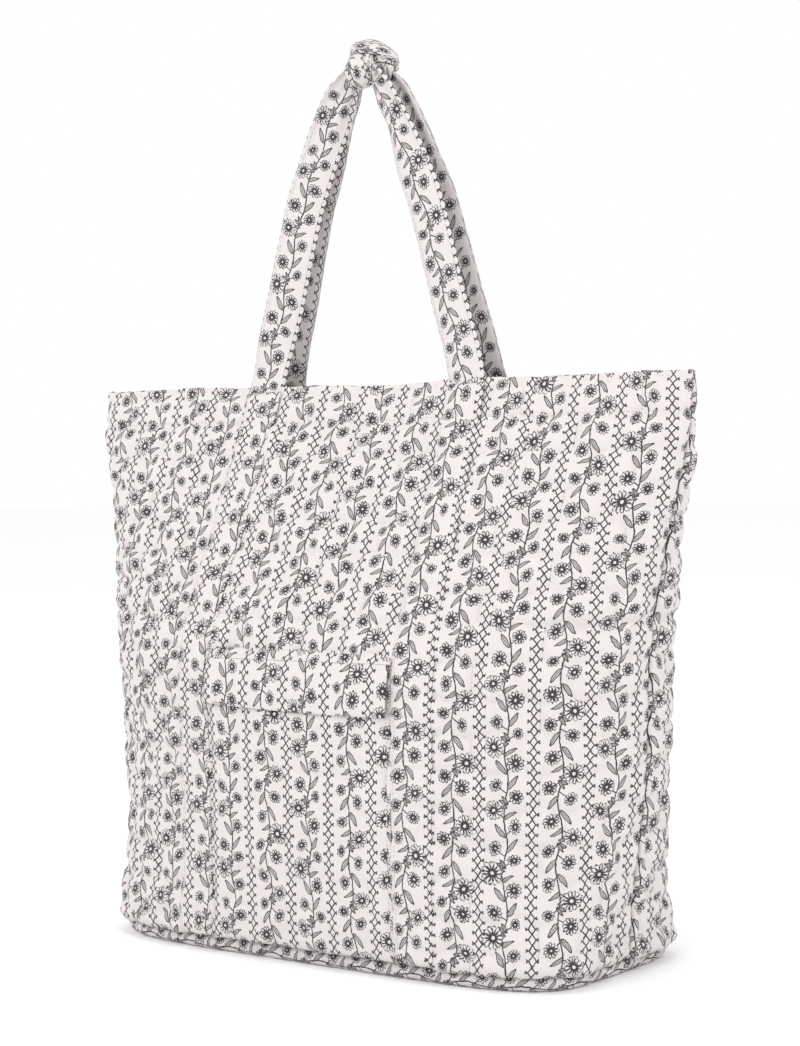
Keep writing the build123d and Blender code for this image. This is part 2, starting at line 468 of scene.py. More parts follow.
def group_tree(name, inputs, outputs):
    """Empty node group, its inputs as Nums, and its output node."""
    tree = bpy.data.node_groups.new(name, "ShaderNodeTree")
    for way, labels in (("INPUT", inputs), ("OUTPUT", outputs)):
        for label in labels:
            tree.interface.new_socket(label, in_out=way, socket_type="NodeSocketFloat")
    entry = tree.nodes.new("NodeGroupInput")
    end = tree.nodes.new("NodeGroupOutput")
    return tree, [Num(tree, entry.outputs[label]) for label in inputs], end


def finish_group(tree, end, *values):
    for slot, value in zip(end.inputs, values):
        feed(tree, slot, value)
    return tree


def use(group, tree, *values):
    """Place a group in a tree and return its outputs."""
    node = tree.nodes.new("ShaderNodeGroup")
    node.node_tree = group
    for slot, value in zip(node.inputs, values):
        feed(tree, slot, value)
    return [Num(tree, out) for out in node.outputs]


def vector_of(tree, *values):
    return add_node(tree, "ShaderNodeCombineXYZ", *values).outputs[0]


def numbers_of(tree, vector):
    """The three numbers of a vector."""
    return [Num(tree, out) for out in add_node(tree, "ShaderNodeSeparateXYZ", vector).outputs]


def noise(tree, vector, scale, detail=2.0):
    node = add_node(tree, "ShaderNodeTexNoise", vector)
    node.inputs["Scale"].default_value = scale
    node.inputs["Detail"].default_value = detail
    return Num(tree, node.outputs["Fac"])


# --- the print: motifs, and the pattern that repeats them ---
def daisy_group():
    """Daisy around x, y = 0: outlined petals with dark gaps between them and a pale eye."""
    tree, (x, y, radius, petals, turn, eye), end = group_tree(
        "daisy", ["x", "y", "radius", "petals", "turn", "eye"], ["ink", "cover"])
    distance = (x * x + y * y).root()
    rough = noise(tree, vector_of(tree, x, y, turn * 3.0), 0.55) - 0.5
    share = distance / radius * (rough * 0.5 + 1.0)
    angle = y.op("ARCTAN2", x) + turn + rough * 0.55
    petal = (angle * petals * 0.5).cos().abs()
    middle = (angle * petals * 0.5).sin().abs()
    edge = middle.power(0.6) * 0.30 + 0.72
    outline = ((share - edge).abs() * radius).below(LINE * 0.85)
    between = (middle * distance * 2.0 / petals).below(LINE * 1.05) * share.below(edge)
    rib = (petal * distance * 2.0 / petals).below(LINE * 0.62) * share.below(0.36)
    ink = outline.most(between).most(rib) * (1.0 - distance.below(eye)) * share.below(edge + 0.12)
    return finish_group(tree, end, ink, share.below(edge))


def leaf_group():
    """Leaf from x = 0 to its length, with an outline, a midrib and a hatched blade."""
    tree, (x, y, length, width, curl), end = group_tree(
        "leaf", ["x", "y", "length", "width", "curl"], ["ink", "cover"])
    t = (x / length).clamped()
    half = (t * (1.0 - t) * 4.0).power(0.75) * (1.15 - 0.35 * t) * width
    off = (y - curl * t * t).abs()
    inside = off.below(half) * (x * -1.0).below(0.0) * x.below(length)
    outline = (off - half).abs().below(LINE * 0.78) * (x * -1.0).below(0.2) * x.below(length)
    rib = off.below(LINE * 0.42) * inside
    hatch = ((x - off * 0.8) * 5.2).sin().op("MULTIPLY_ADD", 0.8, 0.4, clamp=True) * inside * 0.72
    return finish_group(tree, end, outline.most(rib).most(hatch), inside)


def twig_group():
    """Straight line from x, y = 0 to (dx, dy)."""
    tree, (x, y, dx, dy), end = group_tree("twig", ["x", "y", "dx", "dy"], ["ink"])
    share = ((x * dx + y * dy) / (dx * dx + dy * dy)).clamped()
    ox, oy = x - dx * share, y - dy * share
    return finish_group(tree, end, (ox * ox + oy * oy).root().below(LINE * 0.85))


def lattice_group():
    """Chain of diamonds up x = 0: two crossing zigzags with a small curl at each corner."""
    pitch, reach, hook = 7.4, 2.6, 1.5
    tree, (x, y), end = group_tree("lattice", ["x", "y"], ["ink"])
    off = x.abs()
    t = y.op("PINGPONG", pitch / 2) / (pitch / 2)
    zigzag = ((off - t * reach).abs() * 0.84).below(LINE)
    high = (1.0 - t) * (pitch / 2)
    span = off.most(reach).least(reach + hook)
    arm_x, arm_y = off - span, high - (span - reach) * 0.35
    arm = (arm_x * arm_x + arm_y * arm_y).root().below(LINE * 0.9)
    curl_x, curl_y = off - (reach + hook), high - 0.7
    curl = ((curl_x * curl_x + curl_y * curl_y).root() - 0.3).abs().below(LINE * 0.72)
    return finish_group(tree, end, zigzag.most(arm).most(curl))


daisy, leaf, twig, lattice = daisy_group(), leaf_group(), twig_group(), lattice_group()

# Vine motifs in one repeat, in millimetres from the middle of the column, y up.
DAISIES = [  # x, y, radius, petals, eye
    (-9.0, 0.0, 7.6, 13, 1.3),
    (6.9, -11.8, 5.6, 11, 0.85),
    (-7.2, -27.6, 5.5, 11, 0.8),
    (8.0, -35.6, 4.7, 10, 0.6),
]
LEAVES = [  # x, y, angle, length, half width, curl
    (-1.1, -6.7, 57, 9.4, 1.4, -4.2),
    (0.4, -19.6, 132, 12.6, 1.6, -1.0),
    (1.7, -30.4, 50, 12.4, 1.55, 0.8),
    (1.9, -41.5, 150, 7.6, 1.2, 0.6),
    (1.9, -41.5, 122, 7.8, 1.1, 0.4),
    (1.3, -43.5, 176, 6.4, 1.0, 0.4),
]
STEM_MIDDLE, STEM_SWING, STEM_START = 0.4, 1.7, 31.0
STALK = 5.5                  # how far below its daisy a stalk leaves the stem


def stem_x(y):
    """Where the stem is across the column, at a height on the motif."""
    turn = 2 * math.pi * (y - STEM_START) / PRINT_HEIGHT + math.pi
    return STEM_MIDDLE + STEM_SWING * math.sin(turn)


def chances(tree, a, b, c):
    """Three numbers from 0 to 1 that stay the same for the same a, b and c."""
    node = add_node(tree, "ShaderNodeTexWhiteNoise", vector_of(tree, a, b, c + 0.5))
    return numbers_of(tree, node.outputs["Color"])


def print_group():
    """The printed cloth: ink at (u, v) in millimetres."""
    tree, (u, v), end = group_tree("print", ["u", "v"], ["ink"])
    u, v = (
        u + noise(tree, vector_of(tree, u, v), 0.30, 1.0) * 1.3 - 0.65,
        v + noise(tree, vector_of(tree, v, u), 0.27, 1.0) * 1.3 - 0.65,
    )
    seam = (u / PRINT_WIDTH + 0.5).floor()
    chain, = use(lattice, tree, u - seam * PRINT_WIDTH, v + seam * 2.9)
    column = (u / PRINT_WIDTH).floor()
    odd = (column * 0.5).fract() * 2.0
    flip = 1.0 - 2.0 * odd
    y = v * flip + (column * 0.618).fract() * 9.0 + odd * 21.0
    sway = (y * (2 * math.pi / 61.0) + column).sin() * 0.5
    x = (u - (column + 0.5) * PRINT_WIDTH) * flip + sway
    phase = (y - STEM_START) * (2 * math.pi / PRINT_HEIGHT) + math.pi
    stem = (x - STEM_MIDDLE - phase.sin() * STEM_SWING).abs() * 0.97
    ink = stem.below(LINE * 1.05)
    for dx, dy, angle, length, width, curl in LEAVES:
        c, s = math.cos(math.radians(angle)), math.sin(math.radians(angle))
        lx, ly = x - dx, (y - dy).wrapped(PRINT_HEIGHT)
        one, cover = use(leaf, tree, lx * c + ly * s, ly * c - lx * s, length, width, curl)
        ink = (ink * (1.0 - cover)).most(one)
    for k, (dx, dy, radius, petals, eye) in enumerate(DAISIES):
        lx, ly = x - dx, (y - dy).wrapped(PRINT_HEIGHT)
        stalk, = use(twig, tree, lx, ly, stem_x(dy - STALK) - dx, -STALK)
        repeat = ((y - dy) / PRINT_HEIGHT + 0.5).floor()
        first, second, third = chances(tree, column, repeat, k)
        size = first * 0.26 + 0.84
        squash = third * 0.34 + 0.98
        c, s = (second * math.pi).cos(), (second * math.pi).sin()
        px, py = (lx * c + ly * s) / size, (ly * c - lx * s) * squash / size
        one, cover = use(daisy, tree, px, py, radius, petals, first * 6.28, eye)
        ink = (ink.most(stalk) * (1.0 - cover)).most(one)
    return finish_group(tree, end, ink.most(chain))


print_pattern = print_group()

# --- materials ---
CLOTH_COLOUR = (0.625, 0.585, 0.581)
INK_COLOUR = (0.018, 0.016, 0.022)
LINING_COLOUR = (0.66, 0.63, 0.60)
THREAD_COLOUR = (0.53, 0.475, 0.475)
FLUFF_COLOURS = (0.80, 0.79, 0.77), (0.92, 0.91, 0.89)
FLOOR_COLOUR = (0.945, 0.945, 0.945)


def new_material(name, roughness, sheen):
    material = bpy.data.materials.new(name)
    material.use_nodes = True
    shader = material.node_tree.nodes["Principled BSDF"]
    shader.inputs["Roughness"].default_value = roughness
    shader.inputs["Sheen Weight"].default_value = sheen
    shader.inputs["Sheen Roughness"].default_value = 0.6
    shader.inputs["Specular IOR Level"].default_value = 0.18
    return material, material.node_tree, shader


def darker(colour, share):
    return tuple(c * share for c in colour)


def cloth_coordinates(tree, shift=(0.0, 0.0)):
    """Cloth coordinates u and v in millimetres, from the mesh's own uv layer."""
    uv = add_node(tree, "ShaderNodeUVMap", uv_map="cloth")
    numbers = numbers_of(tree, uv.outputs[0])
    return [number.op("MULTIPLY_ADD", 1 / MM, s) for number, s in zip(numbers, shift)]


def mix_colour(tree, share, first, second):
    """Colour from first to second, either of them a tuple or a socket."""
    node = add_node(tree, "ShaderNodeMix", share, data_type="RGBA")
    for slot, value in zip(node.inputs[6:8], (first, second)):
        feed(tree, slot, (*value, 1) if isinstance(value, tuple) else value)
    return node.outputs[2]


def add_weave(tree, shader, u, v, pitch=0.55):
    """Plain weave in the bump, with slubs and fine crumples."""
    weave = (u * (2 * math.pi / pitch)).sin() * (v * (2 * math.pi / pitch)).sin()
    slub = noise(tree, vector_of(tree, u * 0.12, v), 1.3)
    crumple = noise(tree, vector_of(tree, u, v), 0.22, 4.0)
    bump = tree.nodes.new("ShaderNodeBump")
    bump.inputs["Strength"].default_value = 0.25
    bump.inputs["Distance"].default_value = MM
    feed(tree, bump.inputs["Height"], weave * 0.05 + slub * 0.16 + crumple * 0.5)
    feed(tree, shader.inputs["Normal"], bump.outputs[0])
    return weave, slub


def printed_material(name, shift):
    material, tree, shader = new_material(name, 0.86, 0.03)
    u, v = cloth_coordinates(tree, shift)
    ink, = use(print_pattern, tree, u, v)
    weave, slub = add_weave(tree, shader, u, v)
    wear = noise(tree, vector_of(tree, u, v), 0.09, 3.0)
    ink = ink * (wear * 0.9 + 0.70).least(1.0) * (weave * 0.05 + 0.95)
    tone = noise(tree, vector_of(tree, u, v), 0.02)
    ground = mix_colour(tree, (tone * 0.7 + slub * 0.3).least(1.0), darker(CLOTH_COLOUR, 0.955), CLOTH_COLOUR)
    feed(tree, shader.inputs["Base Color"], mix_colour(tree, ink, ground, INK_COLOUR))
    feed(tree, shader.inputs["Roughness"], wear * 0.12 + 0.78)
    return material


def plain_material(name, colour, roughness=0.85):
    material, tree, shader = new_material(name, roughness, 0.15)
    u, v = cloth_coordinates(tree)
    weave, slub = add_weave(tree, shader, u, v, pitch=0.5)
    share = (weave * 0.12 + slub).least(1.0)
    feed(tree, shader.inputs["Base Color"], mix_colour(tree, share, darker(colour, 0.9), colour))
    feed(tree, shader.inputs["Roughness"], slub * 0.15 + roughness - 0.08)
    return material


def fibre_material(name, roughness, sheen, scale, detail, dark, pale):
    """Loose fibres or twisted thread: fine noise between two colours."""
    material, tree, shader = new_material(name, roughness, sheen)
    place = tree.nodes.new("ShaderNodeTexCoord").outputs["Object"]
    feed(tree, shader.inputs["Base Color"], mix_colour(tree, noise(tree, place, scale, detail), dark, pale))
    return material


PANEL_PRINT = printed_material("printed_cloth", (-2.4, 0.0))
POCKET_PRINT = printed_material("printed_cloth_pocket", (5.5, 13.0))
FLAP_PRINT = printed_material("printed_cloth_flap", (5.5, 30.0))
BASE_PRINT = printed_material("printed_cloth_base", (9.0, 7.0))
STRAP_PRINT = printed_material("printed_cloth_strap", (0.0, 19.0))
LINING = plain_material("lining_cloth", LINING_COLOUR)
WADDING = fibre_material("wadding", 0.95, 0.3, 900.0, 5.0, *FLUFF_COLOURS)
THREAD = fibre_material("sewing_thread", 0.6, 0.1, 2500.0, 1.0, darker(THREAD_COLOUR, 0.86), THREAD_COLOUR)


def dress(piece, body, nodes=()):
    """Hide the nodes a piece stands for and attach it to its body, in one call."""
    if isinstance(nodes, str):
        nodes = [nodes]
    if nodes:
        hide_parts(*nodes)
    if body is not None:
        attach(piece, body)
    return piece


def sew(name, sets, body="bag", radius=0.3):
    """One piece of thread, from sets of stitches that dashes gives."""
    return dress(stitches(name, *map(np.concatenate, zip(*sets)), radius), body)


# --- front and back panels ---
# Rows where the cloth turns in at its lower edge and over the rim: tuck inwards, rise.
FOOT_ROWS = (6.5, -0.4), (5.2, -2.2), (2.2, -2.7)
RIM_ROWS = (0.5, 0.9), (1.6, 1.5), (3.0, 1.3), (4.0, 0.3), (4.4, -1.5), (4.5, -4.0)


def outer_panel(face, middle):
    """Quilted printed cloth of one face, from mid-side seam to mid-side seam."""
    u = middle + np.linspace(-GIRTH / 4 + 0.1, GIRTH / 4 - 0.1, 233)
    z = np.linspace(SEAM_Z, RIM_Z, int((RIM_Z - SEAM_Z) / 2.55))
    uu, zz = np.meshgrid(u, z)
    lift = quilted_lift(uu, zz)
    outer = skin.at(uu, zz, lift)
    outer[..., 2] += rim_drop(uu, zz)
    vv = skin.up(zz)

    def turned_edge(row, turns, way):
        points = []
        for tuck, rise in turns:
            line = skin.at(u, np.full_like(u, z[row]), lift[row] - tuck)
            line[:, 2] += rim_drop(u, z[row]) + rise
            points.append(line)
        return points, [np.full_like(u, vv[row, 0] + way * tuck) for tuck, _ in turns]

    foot, foot_v = turned_edge(0, FOOT_ROWS, -1)
    rim, rim_v = turned_edge(-1, RIM_ROWS, 1)
    outer = np.concatenate([foot, outer, rim])
    vv = np.concatenate([foot_v, vv, rim_v])
    normal = normalized(np.cross(np.gradient(outer, axis=1), np.gradient(outer, axis=0)))
    piece = shell_object(f"{face}_panel_cloth", outer, outer - normal * CLOTH,
                         (np.broadcast_to(u, vv.shape), vv), PANEL_PRINT)
    nodes = [f"{face}_panel", f"{face}_left_panel", f"{face}_right_panel"]
    return dress(piece, "bag", nodes)


def inner_layer(name, middle, depth, thick, top, material, node, step=5.0, swell=0.0,
                bottom=SEAM_Z + 0.5):
    """Plain layer inside a panel, a set depth inside the body surface."""
    u = middle + np.linspace(-GIRTH / 4 + 0.5, GIRTH / 4 - 0.5, int(GIRTH / 2 / step))
    z = np.linspace(bottom, top, int((top - bottom) / step) + 1)
    uu, zz = np.meshgrid(u, z)
    dent = swell * quilt(uu, skin.up(zz)) * ease(top - zz, 2, 12)
    outside = np.minimum(quilted_lift(uu, zz) - CLOTH - 0.4, 0) - depth
    piece = sewn_layer(name, uu, zz, outside, outside - thick - dent, (uu, skin.up(zz)), material,
                       rim_drop(uu, zz))
    return dress(piece, "bag", node)


for face, middle in FACES.items():
    outer_panel(face, middle)
    filling = inner_layer(f"{face}_panel_wadding", middle, 0.2, 1.6, RIM_Z - 6, WADDING,
                          f"{face}_wadding")
    inside = inner_layer(f"{face}_panel_lining", middle, 2.4, 0.5, RIM_Z - 22, LINING,
                         f"{face}_lining", swell=0.9)
    hem = inner_layer(f"{face}_rim_facing", middle, 3.3, 0.9, RIM_Z - 1.5, PANEL_PRINT,
                      f"rim_facing_{face}", step=2.5, bottom=RIM_Z - HEM)

# --- base: quilted bottom, side strip, wadding and lining ---
AROUND = 460                 # points in one ring round the base
AROUND_U = np.arange(AROUND) * GIRTH / AROUND


def base_rings(profile):
    """Rings round the body from (scale, outset, height) rows."""
    rings = []
    for scale, outset, z in profile:
        row = base_point(AROUND_U, max(z, 0.0), outset)
        row[:, :2] *= scale
        row[:, 2] = z
        rings.append(row)
    return np.array(rings)


def flat_pad(name, outset, bottom, top, material, quilted=0.0):
    """Pad that fills the body's outline between two heights, with rounded edges."""
    middle = (bottom + top) / 2
    scales = np.linspace(0.02, 1, 70)
    under = [(k, outset - 1.5, bottom) for k in scales]
    edge = [(1, outset - 0.4, bottom + 0.5), (1, outset, middle), (1, outset - 0.4, top - 0.5)]
    over = [(k, outset - 1.5, top) for k in scales[::-1]]
    rings = base_rings(under + edge + over)
    x, y, z = np.moveaxis(rings, -1, 0)
    swell = quilt(x, y + 300)
    rings[..., 2] += quilted * np.where(z > middle, swell, 0.3 * (1 - swell))
    return tube_object(name, rings, (y, x), material)


base_cloth = flat_pad("base_panel_cloth", -2.0, 0.0, 2.6, BASE_PRINT, quilted=1.2)
dress(base_cloth, "bag", "base_panel")
base_pad = flat_pad("base_panel_wadding", -5.0, 3.9, 5.4, WADDING)
dress(base_pad, "bag", "base_wadding")
base_inside = flat_pad("base_panel_lining", -6.0, 5.7, 6.2, LINING)
dress(base_inside, "bag", "base_lining")

STRIP = [  # outset, height, distance over the cloth, share of the unevenness
    (-5.0, 1.2, 2, 0), (-2.2, 0.4, 5, 0.2), (-0.3, 0.9, 8, 0.6), (0.7, 3.2, 11, 1),
    (0.5, 7.0, 14.5, 1), (-1.0, 9.8, 18, 1), (-4.0, 11.6, 21, 0.8), (-6.4, 13.0, 24.5, 0.2),
    (-7.6, 12.4, 26, 0), (-6.0, 10.4, 23, 0.2), (-2.8, 7.0, 17, 0.4), (-3.0, 3.4, 12, 0.4),
    (-5.2, 2.2, 8, 0),
]
STRIP_OUTER, STRIP_INNER = 4, 10    # rows of the strip half way up its outside and its inside


def ring_band(name, rings, cloth_up, material):
    """Closed strip round the body: the last ring joins the first, and the uv seam is split."""
    count, around = rings.shape[:2]
    here = np.arange(around)
    after = (here + 1) % around
    last = (count - 1) * around
    closing = np.stack([last + here, here, after, last + after], axis=1)
    faces = np.concatenate([grid_faces(count, around, closed=True, flip=True), closing])
    piece = mesh_object(name, rings.reshape(-1, 3), faces, None, material)
    layer = piece.data.uv_layers.new(name="cloth")
    for polygon in piece.data.polygons:
        corners = [(k, *divmod(piece.data.loops[k].vertex_index, around)) for k in polygon.loop_indices]
        at_seam = max(column for _, _, column in corners) == around - 1
        for k, row, column in corners:
            turn = around if column == 0 and at_seam else column
            layer.data[k].uv = (cloth_up[row] * MM, turn * GIRTH / around * MM)
    return piece


def side_strip():
    """Turned-up edge of the base, uneven, with one pucker near the front's middle."""
    outsets, heights, cloth_up, shares = np.array(STRIP).T
    rings = base_rings([(1, outset, z) for outset, z in zip(outsets, heights)])
    u = AROUND_U
    uneven = 0.7 * ripple(u, 0 * u, 26, 5) + 0.5 * ripple(u, 0 * u, 9, 6)
    outward = normalized(rings[STRIP_OUTER] - rings[STRIP_INNER])
    pucker = bump_at(u, GIRTH - 44, 3.6)
    rings = rings + (shares[:, None] * uneven - 2.6 * pucker)[..., None] * outward
    rings[..., 2] += 3.4 * pucker * np.clip(1 - rings[..., 2] / 9, 0, 1)
    return ring_band("base_side_band", rings, cloth_up, BASE_PRINT)


dress(side_strip(), "bag", "base_panel")

# --- handle bands sewn down the panels ---
BAND_TOP = RIM_Z - 3.5       # the straps come out from under the bands here
BAND_PRINT = {("front", "left"): 7.0, ("front", "right"): -16.0,
              ("back", "left"): 12.0, ("back", "right"): -2.0}


def band_lift(w, u, z):
    """Outside of a band over the body: domed between its two rows of stitching."""
    dome = (1 - np.abs(w) ** 4) * 0.8 - 0.4 * bump_at(np.abs(w), 0.84, 0.07)
    edge = -0.45 * ease(np.abs(w), 0.93, 1.0)
    soft = 0.55 * free_lift(u, z) + 0.3 * ripple(u, skin.up(z), 14, 3)
    return 1.35 + dome + edge + soft + crease(u, z) + foot_swell(u, z)


def handle_band(face, word):
    z = np.linspace(SEAM_Z - 0.3, BAND_TOP, 185)
    ww, zz = np.meshgrid(spread(19, 0.85), z)
    sign = HANDS[word] * (1 if face == "front" else -1)
    uu = FACES[face] + sign * band_centre(zz) + ww * BAND_HALF
    lift = band_lift(ww, uu, zz) - 1.6 * ease(SEAM_Z + 2.5 - zz, 0, 2.5)
    lift = lift + 0.9 * ease(zz, BAND_TOP - 14, BAND_TOP - 5) - 0.8 * ease(zz, BAND_TOP - 1.5, BAND_TOP)
    cloth = ww * BAND_HALF + BAND_PRINT[face, word], skin.up(zz)
    piece = sewn_layer(f"{face}_band_{word}_cloth", uu, zz, lift, lift - 1.1, cloth, STRAP_PRINT,
                       rim_drop(uu, zz))
    return dress(piece, "bag", f"{face}_band_{word}")


for face in FACES:
    for word in HANDS:
        handle_band(face, word)


# --- pocket ---
def pocket_lift(u, z):
    """Outside of the pocket over the body."""
    v = skin.up(z)
    body = ease(POCKET_HALF - np.abs(u), -1, 15) * ease(z - SEAM_Z, -2, 24)
    mouth = 0.27 * ease(z, POCKET_TOP - 26, POCKET_TOP) * (1 - (u / POCKET_HALF) ** 2)
    hem = -0.5 * bump_at(z, POCKET_TOP - 16, 1.6)
    swell = 1.9 * quilt(u + QUILT_CELL * 0.4, v + 9)
    puff = (2.3 + swell + 0.5 * ripple(u, v, 45, 7) + 0.3 * ripple(u, v, 13, 8)) * body
    flat = 1 - 0.62 * ease(z, FLAP_BOTTOM - 4, FLAP_BOTTOM + 8)
    return 0.7 + (puff + mouth + hem) * flat + foot_swell(u, z)


def pocket_layer(name, inset, top, depth, thick, material):
    u = np.linspace(-POCKET_HALF + inset, POCKET_HALF - inset, 96)
    z = np.linspace(SEAM_Z - 0.4 + inset, top, 108)
    uu, zz = np.meshgrid(u, z)
    lift = pocket_lift(uu, zz) - depth
    return sewn_layer(name, uu, zz, lift, lift - thick, (uu, skin.up(zz)), material)


pocket_cloth = pocket_layer("pocket_panel_cloth", 0.0, POCKET_TOP, 0.0, 0.9, POCKET_PRINT)
dress(pocket_cloth, "bag", "pocket_panel")
pocket_inside = pocket_layer("pocket_lining_cloth", 1.4, POCKET_TOP - 1.0, 1.0, 0.25, LINING)
dress(pocket_inside, "bag", "pocket_lining")


# --- pocket flap and the seam it hangs from ---
def flap_edge_top(u):
    """The flap hangs a little lower at its left end."""
    return FLAP_TOP - 0.8 * (1 - u / FLAP_HALF)


def flap_middle(u, z):
    """Middle of the flap's thickness over the body."""
    t = (FLAP_TOP - z) / (FLAP_TOP - FLAP_BOTTOM)
    wave = 0.42 * np.sin(u / 19.0 + 0.6) + 0.3 * ripple(u, z, 40, 11)
    return 3.9 + (1.4 + wave + ease(u, 40, FLAP_HALF)) * t


def flap_grid(inset, rows=40, columns=90):
    """Girth coordinate and height of the flap's points, and how far each sags."""
    u = np.linspace(-1, 1, columns)
    u = np.sign(u) * (1 - (1 - np.abs(u)) ** 1.25) * (FLAP_HALF - inset)
    t = 0.5 - 0.5 * np.cos(np.linspace(0, 1, rows) * math.pi)
    uu, tt = np.meshgrid(u, t)
    low = FLAP_BOTTOM + 2.0 - uu / FLAP_HALF
    zz = low + inset + tt * (flap_edge_top(uu) - low - 2 * inset)
    sag = 1.2 * np.sin((uu + FLAP_HALF) / FLAP_HALF * 1.5) * (FLAP_TOP - zz) / (FLAP_TOP - FLAP_BOTTOM)
    return uu, zz, sag


def flap_cloth():
    uu, zz, sag = flap_grid(0.0)
    from_top = zz[-1:] - zz
    free = np.minimum(FLAP_HALF - np.abs(uu), zz - zz[:1])
    edge = np.minimum(free, from_top)
    half = 0.3 + 1.35 * np.clip(free / 3.0, 0, 1) ** 0.5 * (1 - 0.25 * np.clip(1 - from_top / 1.5, 0, 1))
    puff = 0.9 * quilt(uu + 9, zz - FLAP_BOTTOM - 5) * np.clip(edge / 8, 0, 1)
    groove = -0.35 * bump_at(edge, 4.2, 0.9)
    rough = 0.3 * ripple(uu, zz, 12, 12) * np.clip(edge / 3, 0, 1)
    middle = flap_middle(uu, zz)
    return sewn_layer("pocket_flap_cloth", uu, zz, middle + half + puff + groove + rough, middle - half,
                      (uu, zz), FLAP_PRINT, -sag)


def flap_lining():
    uu, zz, sag = flap_grid(3.0, 20, 50)
    middle = flap_middle(uu, zz)
    return sewn_layer("pocket_flap_inside", uu, zz, middle - 1.5, middle - 1.8, (uu, zz), LINING, -sag)


def flap_seam():
    uu, tt = np.meshgrid(np.linspace(-FLAP_HALF, FLAP_HALF, 100), np.linspace(0, 1, 12))
    zz = flap_edge_top(uu) + 0.15 + 9.0 * tt
    ends = np.clip((FLAP_HALF - np.abs(uu)) / 4, 0, 1) ** 0.5
    fold = 4.4 * (1 - tt) ** 1.2 * (0.4 + 0.6 * ends) + 0.9 * (1 - tt**2)
    lift = 0.2 + fold + 0.35 * ripple(uu, zz, 11, 13)
    return sewn_layer("flap_seam_fold", uu, zz, lift, lift - 1.2 - 2.2 * (1 - tt), (uu, zz), FLAP_PRINT)


dress(flap_cloth(), "flap", "pocket_flap")
flap_inside = dress(flap_lining(), "flap", "pocket_flap_lining")
dress(flap_seam(), "bag", "flap_seam")

# --- straps: each runs from the hem, past the mouth and up to the knot ---
STRAP_PATH = np.array([  # height, distance from the middle, distance out from the mouth's middle plane
    (RIM_Z - 14, 101.6, 15.0),
    (RIM_Z - 6, 100.6, 14.4),
    (RIM_Z, 99.6, 13.4),
    (RIM_Z + 14, 96.6, 12.2),
    (RIM_Z + 34, 91.2, 11.6),
    (503.0, 82.0, 10.8),
    (530.0, 74.8, 10.0),
    (556.0, 67.4, 9.3),
    (585.0, 58.6, 8.6),
    (610.0, 48.0, 8.0),
    (640.0, 34.8, 7.0),
    (660.0, 24.4, 6.0),
    (674.0, 16.0, 5.0),
    (684.0, 8.5, 4.0),
])
STRAP_FOOT = STRAP_PATH[0, 0]
STRAP_PRINT_AT = {("front", "left"): 21.0, ("front", "right"): -18.5,
                  ("back", "left"): -15.5, ("back", "right"): 18.0}
STRAP_YAW = {("front", "left"): -13, ("front", "right"): 2, ("back", "left"): 4, ("back", "right"): -3}
STRAP_SEWN = slice(12, 104)  # points along a strap where its edges show stitching
STRAP_EDGES = 2, 16          # columns of a strap's section that carry the stitching


def band_tube(name, centre, across, facing, width, thick, uv_shift, shape=None, seed=20, crumple=0.22):
    """Flat band of folded cloth along a path. shape(w, s) bends its section outwards."""
    s = run_length(centre)
    w = spread(19, 0.8)
    under = w[-2:0:-1]
    side = np.r_[np.ones(len(w)), -np.ones(len(under))]
    ww, ss = np.meshgrid(np.r_[w, under], s)
    across_by = ww * width[:, None] / 2
    rise = np.sqrt(np.clip(1 - np.abs(ww) ** 6, 0, 1)) * side
    groove = -0.22 * bump_at(np.abs(ww), 0.84, 0.06) * side
    bend = crumple * ripple(across_by, ss, 38, seed) + (shape(ww, ss) if shape else 0)
    off = rise * thick[:, None] / 2 + groove + bend
    rings = centre[:, None] + across[:, None] * across_by[..., None] + facing[:, None] * off[..., None]
    cloth = ww * BAND_HALF * side + uv_shift[0], ss + uv_shift[1]
    return tube_object(name, rings, cloth, STRAP_PRINT), rings


